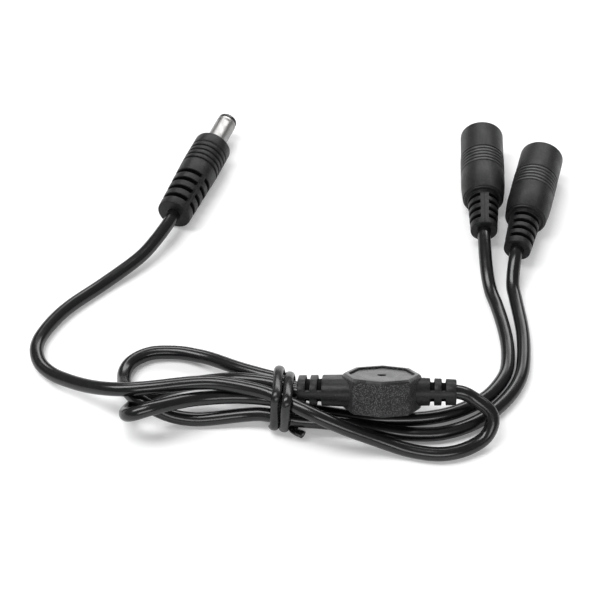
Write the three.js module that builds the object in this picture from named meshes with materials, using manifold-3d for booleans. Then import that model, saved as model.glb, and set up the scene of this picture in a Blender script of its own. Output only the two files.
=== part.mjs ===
// DC power splitter cable: a barrel plug, an octagonal junction and two barrel jacks, in millimetres, +Z up.
// The origin is on the surface the cable lies on, under the middle of its plug, junction, jacks and tie.

import * as THREE from 'three';
import { mergeVertices } from 'three/addons/utils/BufferGeometryUtils.js';
import Module from 'manifold-3d';

const wasm = await Module();
wasm.setup();

// Driving dimensions
const gap = 0.3;              // clearance between pieces that touch
const roundSides = 18;        // facets of the large round parts
const smallSides = 12;        // facets of pins, tubes and cores
const cord = { diameter: 3.4, sides: 8, pitch: 3.2, mostSteps: 78 };
const core = { diameter: 1.1, spacing: 1.5 };
const cordRadius = cord.diameter / 2;
const cordHole = cordRadius + gap;

const plug = {
  at: [-50.2, 17.6], heading: -19.6, webTurn: 48,
  length: 28, rearRadius: 4.55, frontRadius: 5.15, frontEdge: 0.35,
  grooves: { count: 5, first: 17.7, pitch: 1.68, width: 0.75, depth: 0.3 },
  slots: { count: 4, first: 2.9, pitch: 3.15, width: 0.8, depth: 1.35 },
  webWidth: 2.1,
  recessRadius: 2.75, recessDepth: 1.1, holeDepth: 9,
  cavityRadius: 3.45, frontWall: 1.2,
};
const barrel = {
  outerRadius: 2.75, boreRadius: 2.35, proud: 10.2, edge: 0.2,
  bandLength: 1.1, bandDepth: 0.16, bandSlope: 0.15, bandLead: 0.2,
  flangeRadius: 3.1, flangeLength: 1.2, seat: 8,
  tipLength: 0.8, tipEdge: 0.25, tipStep: 0.1, throat: 0.3,
};
const contact = { boreRadius: 1.05, wall: 0.2, recess: 0.5, floor: 1, tailRadius: 0.55, tailLength: 3 };

const jack = {
  length: 36.5, bodyRadius: 5.85, collarRadius: 5.45, shoulderRadius: 5.4, frontEdge: 0.4,
  shoulderAt: 11.4, shoulderStep: 0.45, taperEnd: 16, grooveEnd: 27.6,
  neckRadius: 4.15, endRadius: 3.5, endEdge: 0.15, shoulderStepIn: 0.45, shoulderBevel: 0.2, collarSlope: 0.3,
  grooves: { count: 6, first: 21.2, pitch: 1.16, width: 0.62, depth: 0.26 },
  slots: { count: 4, first: 2.5, pitch: 2.5, width: 0.85, depth: 1.2 },
  webWidth: 2.1,
  recessRadius: 2.6, recessDepth: 0.9, holeDepth: 8.5,
  cavityRadius: 3.4, socketSeat: 17, socketWall: 1.35,
  places: [
    { name: 'jack_a', at: [39.3, 3.7], heading: -15.9, webTurn: -62 },
    { name: 'jack_b', at: [31.3, 10.6], heading: -3.4, webTurn: 0 },
  ],
};
const socket = {
  boreRadius: 3.2, depth: 10, pinRadius: 1.0, pinRecess: 0.8, pinTail: 3.2, lip: 0.35,
  pinNose: [[1, 0.7], [0.7, 0.2], [0.35, 0]], tailRadius: 0.6, tailWay: [1.6, 1.1], wayLap: 1,
};
const sleeve = {
  boreRadius: 2.72, wall: 0.16, length: 7, recess: 1.4, openAngle: 70, tailWidth: 1, tailLap: 0.5,
};

const junction = {
  at: [2.5, -45.6, 9.2], roll: -37.7, turn: -4,
  cornerRadius: 9.4, thickness: 8.6, edge: 0.55,
  panelRadius: 7.9, panelDepth: 0.4, panelWall: 0.25, dimpleRadius: 1.0, dimpleDepth: 0.9,
  cavityLength: 9.5, cavityWidth: 7.2, holeLap: 1,
};
const neckIn = { reach: 17.6, rootRadius: 3.35, endRadius: 3.05, slots: [11.9, 14.6], slotWidth: 1.05 };
const neckOut = { reach: 19.8, rootRadius: 3.4, endRadius: 3.05, slots: [14.6, 17.4], slotWidth: 1.1 };
const cordSpacing = 3.8;
const neckSlotDepth = 0.95;
const neckWeb = 2.0;
const slotStart = 1.001;       // where a slot's inner face begins, as a share of its place
const roundSpacing = 0.001;    // spacing of the half rounds of a neck that holds one cord

const splice = { radius: 1.0, length: 3.6, offset: 1.35, coreSpread: 0.6 };
const cavityHeight = 2 * (splice.offset + splice.radius + gap);
const junctionCavity = [junction.cavityLength, junction.cavityWidth, cavityHeight];
const tie = {
  width: 1.9, thickness: 0.9, edge: 0.22, holeRadius: 0.3, wireRadius: 0.2,
  fromNeck: 5.9, startTurn: -0.31, turns: 2, pitch: 2.2, pointsPerTurn: 14, steps: 48, slack: 0.2,
  tail: [[0.7, -1.3, 0.5], [2.2, -2, 0.5]], farSide: -34, samples: 600,
};

// Materials
const black = (roughness) => new THREE.MeshStandardMaterial({ color: 0x17171a, roughness, metalness: 0 });
const nickel = () => new THREE.MeshStandardMaterial({ color: 0xc9c5bd, roughness: 0.3, metalness: 1 });
const paint = (color) => new THREE.MeshStandardMaterial({ color, roughness: 0.5, metalness: 0 });

// Solids
function toSolid(geometry) {
  const plain = geometry.index ? geometry.toNonIndexed() : geometry.clone();
  plain.deleteAttribute('normal');
  plain.deleteAttribute('uv');
  const merged = mergeVertices(plain, 1e-4);
  const corners = merged.index.array;
  const triVerts = [];
  for (let i = 0; i < corners.length; i += 3) {
    const [a, b, c] = [corners[i], corners[i + 1], corners[i + 2]];
    if (a !== b && b !== c && c !== a) triVerts.push(a, b, c);
  }
  const vertProperties = new Float32Array(merged.attributes.position.array);
  const make = (order) => new wasm.Manifold(new wasm.Mesh({
    numProp: 3, vertProperties, triVerts: new Uint32Array(order),
  }));
  const made = make(triVerts);
  if (made.volume() > 0) return made;
  const turned = [];
  for (let i = 0; i < triVerts.length; i += 3) turned.push(triVerts[i], triVerts[i + 2], triVerts[i + 1]);
  return make(turned);
}

function toGeometry(solid) {
  const { vertProperties, triVerts } = solid.getMesh();
  const geometry = new THREE.BufferGeometry();
  geometry.setAttribute('position', new THREE.BufferAttribute(vertProperties, 3));
  geometry.setIndex(new THREE.BufferAttribute(triVerts, 1));
  return geometry;
}

// A revolve about the Y axis of a closed outline of [radius, height] points.
function revolve(outline, sides = roundSides) {
  const points = outline.map(([r, y]) => new THREE.Vector2(r, y));
  const closed = outline[0][0] === 0 && outline.at(-1)[0] === 0;
  if (!closed) points.push(points[0].clone());
  return toSolid(new THREE.LatheGeometry(points, sides));
}

function box(size, centre) {
  const made = new THREE.BoxGeometry(...size);
  made.translate(...centre);
  return made;
}

// A round bar along Y from one height to another.
const bar = (radius, from, to, sides = smallSides) =>
  revolve([[0, from], [radius, from], [radius, to], [0, to]], sides);

function addMesh(group, name, solid, material) {
  const mesh = new THREE.Mesh(toGeometry(solid), material);
  mesh.name = name;
  group.add(mesh);
  return mesh;
}

// Fine ring grooves along an outline whose radius is a function of the height.
function grooveOutline({ count, first, pitch, width, depth }, radiusAt) {
  const points = [];
  for (let i = 0; i < count; i++) {
    const y = first + i * pitch;
    const [low, high] = [y - width / 2, y + width / 2];
    points.push([radiusAt(low), low], [radiusAt(y) - depth, y], [radiusAt(high), high]);
  }
  return points;
}

// The ring slots of a strain relief, broken by two webs that run along it.
function reliefSlots({ count, first, pitch, width, depth }, radiusAt, webWidth, webTurn) {
  const tall = first + count * pitch + width;
  const slab = box([webWidth, tall * 2, radiusAt(0) * 4], [0, 0, 0]);
  slab.rotateY(THREE.MathUtils.degToRad(webTurn));
  const webs = toSolid(slab);
  let slots = null;
  for (let i = 0; i < count; i++) {
    const y = first + i * pitch;
    const floor = radiusAt(y) - depth;
    const outside = radiusAt(y) + depth;
    const [low, high] = [y - width / 2, y + width / 2];
    const ring = revolve([[floor, low], [outside, low], [outside, high], [floor, high]]);
    slots = slots ? slots.add(ring) : ring;
  }
  return slots.subtract(webs);
}

const between = (y, y0, r0, y1, r1) => r0 + (r1 - r0) * (y - y0) / (y1 - y0);

// Puts a connector's own frame, with its axis along +Y, on the surface.
function connectorGroup({ at, heading }, height) {
  const group = new THREE.Group();
  group.position.set(at[0], at[1], height);
  group.rotation.z = THREE.MathUtils.degToRad(heading);
  group.updateMatrixWorld(true);
  return group;
}

// A straight insulated core or wire from one point to another.
function coreBetween(from, to, radius = core.diameter / 2) {
  const path = new THREE.LineCurve3(new THREE.Vector3(...from), new THREE.Vector3(...to));
  return toSolid(new THREE.ExtrudeGeometry(polygon(radius, cord.sides), {
    steps: 1, bevelEnabled: false, extrudePath: path,
  }));
}

function polygon(radius, sides) {
  const shape = new THREE.Shape();
  for (let i = 0; i < sides; i++) {
    const angle = (i + 0.5) / sides * 2 * Math.PI;
    const point = [radius * Math.cos(angle), radius * Math.sin(angle)];
    if (i === 0) shape.moveTo(...point);
    else shape.lineTo(...point);
  }
  shape.closePath();
  return shape;
}

// Plug
function plugOvermould() {
  const radiusAt = (y) => between(y, 0, plug.rearRadius, plug.grooves.first, plug.frontRadius);
  const bodyRadius = (y) => Math.min(radiusAt(y), plug.frontRadius);
  const frontHole = barrel.outerRadius + gap;
  const cavityStart = plug.holeDepth;
  const cavityEnd = plug.length - plug.frontWall;
  const body = revolve([
    [plug.recessRadius, 0], [plug.rearRadius, 0],
    ...grooveOutline(plug.grooves, bodyRadius),
    [plug.frontRadius, plug.length - plug.frontEdge], [plug.frontRadius - plug.frontEdge, plug.length],
    [frontHole, plug.length], [frontHole, cavityEnd], [plug.cavityRadius, cavityEnd],
    [plug.cavityRadius, cavityStart], [cordHole, cavityStart],
    [cordHole, plug.recessDepth], [plug.recessRadius, plug.recessDepth],
  ]);
  return body.subtract(reliefSlots(plug.slots, radiusAt, plug.webWidth, plug.webTurn));
}

function plugBarrel() {
  const start = plug.length - barrel.seat;
  const end = plug.length + barrel.proud;
  const band = end - barrel.bandLength;
  const bandFloor = barrel.outerRadius - barrel.bandDepth;
  return revolve([
    [barrel.boreRadius, start], [barrel.flangeRadius, start],
    [barrel.flangeRadius, start + barrel.flangeLength], [barrel.outerRadius, start + barrel.flangeLength],
    [barrel.outerRadius, band - barrel.bandLead - barrel.bandSlope], [bandFloor, band - barrel.bandLead],
    [bandFloor, band], [barrel.outerRadius, band + barrel.bandSlope], [barrel.outerRadius, end - barrel.edge],
    [barrel.outerRadius - barrel.edge, end], [barrel.boreRadius, end],
  ]);
}

function plugInsulator() {
  const outer = barrel.boreRadius - gap;
  const inner = contact.boreRadius + contact.wall + gap;
  const lipStart = plug.length + barrel.proud + gap;
  const tip = lipStart + barrel.tipLength;
  const lip = barrel.outerRadius - barrel.tipStep;
  const start = plug.length - barrel.seat;
  return revolve([
    [inner, start], [outer, start], [outer, lipStart], [lip, lipStart],
    [lip, tip - barrel.tipEdge], [lip - barrel.tipEdge, tip],
    [inner - barrel.tipEdge, tip], [inner, tip - barrel.throat],
  ]);
}

function plugContact() {
  const outer = contact.boreRadius + contact.wall;
  const end = plug.length + barrel.proud + barrel.tipLength - contact.recess;
  const start = plug.length - barrel.seat;
  const floor = start + contact.floor;
  const tail = start - contact.tailLength;
  return revolve([
    [0, tail], [contact.tailRadius, tail], [contact.tailRadius, start], [outer, start],
    [outer, end], [contact.boreRadius, end], [contact.boreRadius, floor], [0, floor],
  ], smallSides);
}

function buildPlug() {
  const group = connectorGroup(plug, plug.frontRadius);
  addMesh(group, 'plug_overmould', plugOvermould(), black(0.55));
  addMesh(group, 'plug_barrel', plugBarrel(), nickel());
  addMesh(group, 'plug_tip_insulator', plugInsulator(), black(0.4));
  addMesh(group, 'plug_center_contact', plugContact(), nickel());
  const cordEnd = plug.holeDepth + gap;
  const contactTail = plug.length - barrel.seat - contact.tailLength - gap;
  const flange = plug.length - barrel.seat - gap;
  const side = (barrel.flangeRadius + barrel.boreRadius) / 2;
  addMesh(group, 'plug_positive_core',
    coreBetween([-core.spacing / 2, cordEnd, 0], [0, contactTail, 0]), paint(0xa01818));
  addMesh(group, 'plug_negative_core',
    coreBetween([core.spacing / 2, cordEnd, 0], [side, flange, 0]), paint(0x202020));
  return group;
}

// Jacks
function jackOvermould(webTurn) {
  const neckAt = (y) => between(y, 0, jack.endRadius, jack.shoulderAt, jack.neckRadius);
  const step = jack.shoulderAt + jack.shoulderStep;
  const body = revolve([
    [jack.recessRadius, 0], [jack.endRadius - jack.endEdge, 0], [jack.endRadius, jack.endEdge],
    [jack.neckRadius, jack.shoulderAt], [jack.shoulderRadius - jack.shoulderStepIn, jack.shoulderAt],
    [jack.shoulderRadius - jack.shoulderBevel, step], [jack.shoulderRadius, step],
    [jack.bodyRadius, jack.taperEnd],
    ...grooveOutline(jack.grooves, () => jack.bodyRadius),
    [jack.bodyRadius, jack.grooveEnd - jack.collarSlope], [jack.collarRadius, jack.grooveEnd],
    [jack.collarRadius, jack.length - jack.frontEdge], [jack.collarRadius - jack.frontEdge, jack.length],
    [insertRadius() + gap, jack.length], [insertRadius() + gap, jack.socketSeat - gap],
    [jack.cavityRadius, jack.socketSeat - gap], [jack.cavityRadius, jack.holeDepth],
    [cordHole, jack.holeDepth], [cordHole, jack.recessDepth], [jack.recessRadius, jack.recessDepth],
  ]);
  return body.subtract(reliefSlots(jack.slots, neckAt, jack.webWidth, webTurn));
}

function insertRadius() {
  return jack.collarRadius - jack.socketWall;
}

function socketInsert() {
  const outer = insertRadius();
  const floor = jack.length - socket.depth;
  const pinHole = socket.pinRadius + gap;
  const [wayWidth, wayHeight] = socket.tailWay;
  const wayLength = floor - jack.socketSeat + 2 * socket.wayLap;
  const wayMiddle = [0, (floor + jack.socketSeat) / 2, tailOffset()];
  const body = revolve([
    [pinHole, jack.socketSeat], [outer, jack.socketSeat], [outer, jack.length],
    [socket.boreRadius, jack.length], [socket.boreRadius - socket.lip, jack.length - socket.lip],
    [socket.boreRadius, jack.length - 2 * socket.lip], [socket.boreRadius, floor], [pinHole, floor],
  ]);
  const tailWay = box([wayWidth, wayLength, wayHeight], wayMiddle);
  return body.subtract(toSolid(tailWay));
}

function tailOffset() {
  return sleeve.boreRadius + sleeve.wall / 2;
}

function centerPin() {
  const tip = jack.length - socket.pinRecess;
  const start = jack.socketSeat - socket.pinTail;
  const tailEnd = jack.socketSeat - gap;
  return revolve([
    [0, start], [socket.tailRadius, start], [socket.tailRadius, tailEnd], [socket.pinRadius, tailEnd],
    ...socket.pinNose.map(([share, back]) => [socket.pinRadius * share, tip - back]), [0, tip],
  ], smallSides);
}

// A split spring tube with a tail that leaves through the insert's floor.
function sleeveContact() {
  const outer = sleeve.boreRadius + sleeve.wall;
  const half = THREE.MathUtils.degToRad(sleeve.openAngle / 2);
  const from = -Math.PI / 2 + half;
  const to = 1.5 * Math.PI - half;
  const shape = new THREE.Shape();
  shape.absarc(0, 0, outer, from, to, false);
  shape.absarc(0, 0, sleeve.boreRadius, to, from, true);
  shape.closePath();
  const front = jack.length - sleeve.recess;
  const tube = new THREE.ExtrudeGeometry(shape, {
    depth: sleeve.length, bevelEnabled: false, curveSegments: smallSides,
  });
  tube.rotateX(-Math.PI / 2);
  tube.scale(1, 1, -1);
  tube.translate(0, front - sleeve.length, 0);
  const tailStart = jack.socketSeat - socket.pinTail;
  const tailLength = front - sleeve.length - tailStart + sleeve.tailLap;
  const tailMiddle = [0, tailStart + tailLength / 2, tailOffset()];
  const tail = box([sleeve.tailWidth, tailLength, sleeve.wall], tailMiddle);
  return toSolid(tube).add(toSolid(tail));
}

function buildJack({ name, at, heading, webTurn }) {
  const group = connectorGroup({ at, heading }, jack.bodyRadius);
  addMesh(group, `${name}_overmould`, jackOvermould(webTurn), black(0.55));
  addMesh(group, `${name}_socket_insert`, socketInsert(), black(0.35));
  addMesh(group, `${name}_center_pin`, centerPin(), nickel());
  addMesh(group, `${name}_sleeve_contact`, sleeveContact(), nickel());
  const cordEnd = jack.holeDepth + gap;
  const tails = jack.socketSeat - socket.pinTail - gap;
  addMesh(group, `${name}_positive_core`,
    coreBetween([0, cordEnd, -core.spacing / 2], [0, tails, 0]), paint(0xa01818));
  addMesh(group, `${name}_negative_core`,
    coreBetween([0, cordEnd, core.spacing / 2], [0, tails, tailOffset() - gap]), paint(0x202020));
  return group;
}

// Junction
const junctionGroup = new THREE.Group();
junctionGroup.position.set(...junction.at);
junctionGroup.rotation.set(
  THREE.MathUtils.degToRad(junction.roll), 0, THREE.MathUtils.degToRad(junction.turn), 'XYZ');
junctionGroup.updateMatrixWorld(true);

// A prism along X with an oblong section: two half rounds, a spacing apart along Y.
function oblongBar(from, to, rootRadius, endRadius, spacing) {
  const section = (radius) => {
    const shape = new THREE.Shape();
    shape.absarc(0, spacing / 2, radius, 0, Math.PI, false);
    shape.absarc(0, -spacing / 2, radius, Math.PI, 2 * Math.PI, false);
    shape.closePath();
    return shape;
  };
  const length = Math.abs(to - from);
  const made = new THREE.ExtrudeGeometry(section(rootRadius), {
    depth: length, bevelEnabled: false, curveSegments: roundSides / 3,
  });
  const places = made.attributes.position;
  for (let i = 0; i < places.count; i++) {
    const reach = places.getZ(i) / length;
    const shrink = (rootRadius + (endRadius - rootRadius) * reach) / rootRadius;
    const y = places.getY(i);
    const middle = Math.sign(y) * Math.min(Math.abs(y), spacing / 2);
    places.setX(i, places.getX(i) * shrink);
    places.setY(i, middle + (y - middle) * shrink);
  }
  made.rotateY(to > from ? Math.PI / 2 : -Math.PI / 2);
  made.translate(from, 0, 0);
  return toSolid(made);
}

// Slots across a neck, cut all round but for a web on each side.
function neckSlots(neck, side, spacing) {
  let cuts = null;
  for (const place of neck.slots) {
    const from = side * (place - neck.slotWidth / 2);
    const to = side * (place + neck.slotWidth / 2);
    const radius = between(place, junction.cornerRadius, neck.rootRadius, neck.reach, neck.endRadius);
    const outer = radius + neckSlotDepth;
    const inner = radius - neckSlotDepth;
    const outside = oblongBar(from, to, outer, outer, spacing);
    const inside = oblongBar(from * slotStart, to, inner, inner, spacing);
    const cut = outside.subtract(inside);
    cuts = cuts ? cuts.add(cut) : cut;
  }
  const web = toSolid(box([3 * neck.reach, 2 * neck.reach, neckWeb], [0, 0, 0]));
  return cuts.subtract(web);
}

function junctionOvermould() {
  const half = junction.thickness / 2;
  const { cornerRadius, edge, panelRadius, panelDepth, panelWall, holeLap } = junction;
  const body = revolve([
    [0, -half], [cornerRadius - edge, -half], [cornerRadius, -half + edge],
    [cornerRadius, half - edge], [cornerRadius - edge, half],
    [panelRadius, half], [panelRadius - panelWall, half - panelDepth], [0, half - panelDepth],
  ], 8).rotate([90, 0, 0]);
  const dimpleFloor = half - panelDepth - junction.dimpleDepth;
  const dimple = bar(junction.dimpleRadius, dimpleFloor, half + panelDepth).rotate([90, 0, 0]);
  const start = junction.cavityLength / 2;
  const inNeck = oblongBar(start, neckIn.reach, neckIn.rootRadius, neckIn.endRadius, roundSpacing);
  const outNeck = oblongBar(-start, -neckOut.reach, neckOut.rootRadius, neckOut.endRadius, cordSpacing);
  const inHole = oblongBar(start - holeLap, neckIn.reach + holeLap, cordHole, cordHole, roundSpacing);
  const outHole = oblongBar(holeLap - start, -neckOut.reach - holeLap, cordHole, cordHole, cordSpacing);
  return body.add(inNeck).add(outNeck)
    .subtract(neckSlots(neckIn, 1, roundSpacing)).subtract(neckSlots(neckOut, -1, cordSpacing))
    .subtract(dimple).subtract(toSolid(box(junctionCavity, [0, 0, 0])))
    .subtract(inHole).subtract(outHole);
}

function buildJunction() {
  const group = junctionGroup;
  addMesh(group, 'junction_overmould', junctionOvermould(), black(0.65));
  const cordEnd = junction.cavityLength / 2 - gap;
  for (const [name, side, color] of [['positive', 1, 0xa01818], ['negative', -1, 0x202020]]) {
    const z = side * splice.offset;
    const spliceBody = bar(splice.radius, -splice.length / 2, splice.length / 2).rotate([0, 0, -90]);
    addMesh(group, `junction_${name}_splice`, spliceBody.translate([0, 0, z]), nickel());
    const spliceEnd = splice.length / 2 + gap;
    const cores = [
      ['input', [cordEnd, 0, z * splice.coreSpread], [spliceEnd, 0, z]],
      ['output_a', [-cordEnd, cordSpacing / 2, z * splice.coreSpread], [-spliceEnd, core.spacing / 2, z]],
      ['output_b', [-cordEnd, -cordSpacing / 2, z * splice.coreSpread], [-spliceEnd, -core.spacing / 2, z]],
    ];
    for (const [from, start, end] of cores) {
      addMesh(group, `${from}_${name}_core`, coreBetween(start, end), paint(color));
    }
  }
  return group;
}

// Cords, along points on their centre lines: the input cord from the plug to the junction,
// and the output cords from the junction to their jacks
const localPoint = (group, x, y, z) => new THREE.Vector3(x, y, z).applyMatrix4(group.matrixWorld).toArray();

const inputRoute = [
  [-54.7, 8.6, 4.2], [-58.1, 4.1, 3.2], [-67.4, -4.5, 1.8], [-74.5, -11.4, 1.8],
  [-77.7, -15.3, 1.8], [-80.2, -19.5, 1.8], [-81.9, -23.8, 1.8], [-82, -27.3, 1.8], [-80.5, -31.2, 1.8],
  [-77.4, -34.6, 2.3], [-73, -38, 3.8], [-67.6, -41.5, 6], [-62.4, -44.1, 8.2], [-57.5, -45.3, 9.5],
  [-52.7, -45.2, 9.9], [-41.7, -43.8, 10], [-36.2, -43.9, 10.1], [-25.8, -46.3, 10], [-22.7, -47.8, 10.1],
  [-15.6, -52.3, 10.3], [-11, -54.2, 9.3], [-6.8, -55.2, 7.6], [2, -56.3, 3.9], [7.2, -57.2, 2.2],
  [11.4, -58.1, 1.8], [15.9, -58.6, 1.8], [20.1, -57.9, 1.8], [24, -56.2, 1.9], [27, -54.3, 2.8],
  [28.3, -52.6, 4.4], [28.6, -51.1, 5.8], [27.9, -49.7, 6.9], [24.1, -47.3, 8.6],
];
const outputRouteA = [
  [-22.8, -40.4, 7.5], [-25.9, -38.9, 7], [-31.3, -35.8, 5.6], [-38.9, -30.4, 3], [-42.7, -28.6, 2.2],
  [-46.5, -27.5, 1.8], [-52.7, -27.5, 1.8], [-55.8, -28.6, 1.8], [-58.4, -30.7, 1.8], [-59.6, -33.3, 1.9],
  [-59.6, -36.9, 2.6], [-58.4, -41.5, 4.8], [-56.2, -45, 6], [-53.9, -46.7, 5.9], [-48.3, -47.8, 3],
  [-45, -48.1, 2.1], [-40.9, -48.3, 1.8], [-29.9, -47.7, 2.8], [-25.9, -48.1, 3.6], [-20.6, -49.3, 3.7],
  [-16.1, -50, 3.5], [-11.6, -50.1, 3.1],
  [-2.6, -51.2, 2.7], [6.9, -52.4, 1.8], [12, -52.8, 1.8], [16.6, -52.5, 1.8], [21.7, -50.9, 1.8],
  [25.9, -48.7, 1.8], [29.6, -45.8, 1.8], [33.4, -41.7, 1.8], [36, -37.7, 1.8], [37.6, -33.6, 1.8],
  [38.6, -27.3, 1.8], [38.9, -20.1, 1.8], [38.1, -9.6, 2], [37.7, -5.6, 2.6],
];
const outputRouteB = [
  [-22.7, -43.7, 9.5], [-31.1, -40.9, 7.8], [-36.5, -39.4, 5.6], [-42.2, -38.5, 3.4], [-47.9, -38.7, 2],
  [-51.2, -40, 1.8], [-55.9, -43.2, 1.9], [-57.4, -45.7, 2.7], [-58, -49, 5.2], [-57.2, -51.4, 7.6],
  [-55.1, -52.2, 9.2], [-52.1, -51.4, 9.7], [-43.7, -47.5, 8], [-39.3, -46.1, 7.1], [-34.6, -45.3, 6.6],
  [-29.9, -45.2, 6.5], [-23.2, -46, 6.5], [-18.6, -45.4, 3.9], [-15.4, -45.6, 2.2], [-11.5, -46.2, 1.9],
  [-1.3, -48, 1.8], [7.5, -48.3, 1.8], [12.8, -48, 1.8], [18.1, -46.9, 1.8], [23.1, -44.8, 1.8],
  [28.2, -41.6, 1.8], [31.8, -37.3, 1.8], [33.7, -33.6, 1.8], [34.5, -29.4, 1.8], [34.7, -24.4, 1.8],
  [34.2, -18.5, 1.8], [33.1, -11.7, 1.8], [32, -7.3, 2.2], [31.3, -2, 3.7],
];

const curveThrough = (points) =>
  new THREE.CatmullRomCurve3(points.map((p) => new THREE.Vector3(...p)), false, 'centripetal');

function cordAlong(curve) {
  const steps = Math.min(cord.mostSteps, Math.ceil(curve.getLength() / cord.pitch));
  return toSolid(new THREE.ExtrudeGeometry(polygon(cordRadius, cord.sides), {
    steps, bevelEnabled: false, extrudePath: curve,
  }));
}

// Twist tie: a strip wound round the cords, with a wire along its middle. Each point of its path lies on the
// outside of the cords that run through the strip's width there.
function tieCurve(curves) {
  const reach = cordRadius + gap + tie.slack + tie.thickness / 2;
  const centres = curves.flatMap((curve) => curve.getSpacedPoints(tie.samples));
  const points = [];
  for (let i = 0; i <= tie.turns * tie.pointsPerTurn; i++) {
    const turn = i / tie.pointsPerTurn;
    const x = junction.at[0] - neckOut.reach - tie.fromNeck + turn * tie.pitch;
    const angle = (tie.startTurn - turn) * 2 * Math.PI;
    const out = new THREE.Vector3(0, Math.cos(angle), Math.sin(angle));
    const near = centres.filter((p) => Math.abs(p.x - x) < tie.width / 2 && p.y < tie.farSide);
    const outermost = near.reduce((a, b) => (b.dot(out) > a.dot(out) ? b : a));
    points.push(new THREE.Vector3(x, outermost.y, outermost.z).addScaledVector(out, reach));
  }
  for (const step of tie.tail) points.push(points.at(-1).clone().add(new THREE.Vector3(...step)));
  return new THREE.CatmullRomCurve3(points, false, 'centripetal');
}

function buildTie(curves) {
  const group = new THREE.Group();
  const [w, t] = [tie.width / 2, tie.thickness / 2];
  const strip = new THREE.Shape([
    [tie.edge - w, -t], [w - tie.edge, -t], [w, 0], [w - tie.edge, t], [tie.edge - w, t], [-w, 0],
  ].map(([x, y]) => new THREE.Vector2(x, y)));
  strip.holes.push(polygon(tie.holeRadius, 6));
  const along = { steps: tie.steps, bevelEnabled: false, extrudePath: tieCurve(curves) };
  addMesh(group, 'tie_strip', toSolid(new THREE.ExtrudeGeometry(strip, along)), black(0.35));
  addMesh(group, 'tie_wire', toSolid(new THREE.ExtrudeGeometry(polygon(tie.wireRadius, 6), along)), nickel());
  return group;
}

// Assembly
const splitter = new THREE.Group();
const plugGroup = buildPlug();
const [jackA, jackB] = jack.places.map(buildJack);
splitter.add(plugGroup, jackA, jackB, buildJunction());

const alongAxis = (group, places) => places.map((y) => localPoint(group, 0, y, 0));
const neckStart = junction.cavityLength / 2 + gap;
const alongNeck = (side, { reach }, y) =>
  [neckStart, reach / 2, reach + 1].map((x) => localPoint(junctionGroup, side * x, y, 0));
const intoPlug = [plug.holeDepth - gap, 3, -2.5];
const intoJack = [-2, 4, jack.holeDepth - gap];

const cords = {
  input_cord: [
    ...alongAxis(plugGroup, intoPlug), ...inputRoute, ...alongNeck(1, neckIn, 0).reverse()],
  output_cord_a: [
    ...alongNeck(-1, neckOut, cordSpacing / 2), ...outputRouteA, ...alongAxis(jackA, intoJack)],
  output_cord_b: [
    ...alongNeck(-1, neckOut, -cordSpacing / 2), ...outputRouteB, ...alongAxis(jackB, intoJack)],
};
const curves = Object.values(cords).map(curveThrough);
Object.keys(cords).forEach((name, i) => addMesh(splitter, name, cordAlong(curves[i]), black(0.3)));
splitter.add(buildTie(curves));

export default splitter;
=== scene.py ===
import math

import bmesh
import bpy
from mathutils import Matrix, Vector


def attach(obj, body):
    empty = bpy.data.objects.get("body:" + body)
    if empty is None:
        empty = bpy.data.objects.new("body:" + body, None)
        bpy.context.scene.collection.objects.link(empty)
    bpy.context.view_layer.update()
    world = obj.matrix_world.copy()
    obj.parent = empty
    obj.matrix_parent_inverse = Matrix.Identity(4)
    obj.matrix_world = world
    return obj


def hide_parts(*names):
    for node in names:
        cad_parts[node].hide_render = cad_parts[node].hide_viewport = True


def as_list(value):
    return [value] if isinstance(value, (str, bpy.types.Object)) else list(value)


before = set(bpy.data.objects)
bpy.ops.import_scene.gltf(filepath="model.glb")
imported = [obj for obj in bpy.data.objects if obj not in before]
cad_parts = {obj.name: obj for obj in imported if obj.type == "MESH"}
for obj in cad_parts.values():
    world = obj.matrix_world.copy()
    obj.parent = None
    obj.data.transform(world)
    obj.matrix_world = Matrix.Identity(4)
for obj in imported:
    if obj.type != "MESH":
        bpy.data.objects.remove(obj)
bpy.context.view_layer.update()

# Sizes are written in millimetres here and multiplied by MM where a mesh is made.
MM = 0.001
GAP = 0.3
CORD_RADIUS = 1.7
CORD_HOLE = CORD_RADIUS + GAP
CORD_MOUTH = 1.78
AXIS = 0.0002
AROUND = 64

PLUG = {"at": (-50.2, 17.6), "heading": -19.6, "height": 5.15, "web_turn": 48}
JACKS = {
    "jack_a": {"at": (39.3, 3.7), "heading": -15.9, "height": 5.85, "web_turn": -62},
    "jack_b": {"at": (31.3, 10.6), "heading": -3.4, "height": 5.85, "web_turn": 0},
}
JUNCTION = {"at": (2.5, -45.6, 9.2), "roll": -37.7, "turn": -4}
PLUG_HOLE, JACK_HOLE = 9.0, 8.5
NECK_IN_REACH, NECK_OUT_REACH = 17.6, 19.8
CORD_SPACING = 3.8
NECK_START = 4.75 + GAP

# Turned bodies, measured from the end where the cord goes in
PLUG_REAR, PLUG_FRONT, PLUG_LENGTH = 4.55, 5.15, 28
PLUG_GRIP, PLUG_RIBS, PLUG_PITCH = 17.7, 4, 1.68
JACK_REAR, JACK_NECK, JACK_BODY, JACK_COLLAR = 3.5, 4.15, 5.85, 5.8
JACK_NECK_LENGTH, JACK_LENGTH = 11.4, 36.5
JACK_GRIP, JACK_RIBS, JACK_PITCH = 21.2, 5, 1.16
BARREL_RADIUS, BARREL_START, BARREL_END = 2.75, 20.0, 38.2

# Each web has a seam down its middle, and a slot's faces are those that lie deeper than SLOT_FROM; they take
# a near black finish whose dark colour is painted shade
WEB_BLEND = 0.14
SEAM_DEPTH, SEAM_END, SEAM_INNER, SEAM_OUTER = 0.05, JACK_NECK_LENGTH, 0.03, 0.09
SLOT_FROM = 0.5


def connector_place(connector):
    x, y = connector["at"]
    turn = Matrix.Rotation(math.radians(connector["heading"]), 4, "Z")
    return Matrix.Translation((x, y, connector["height"])) @ turn


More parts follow.
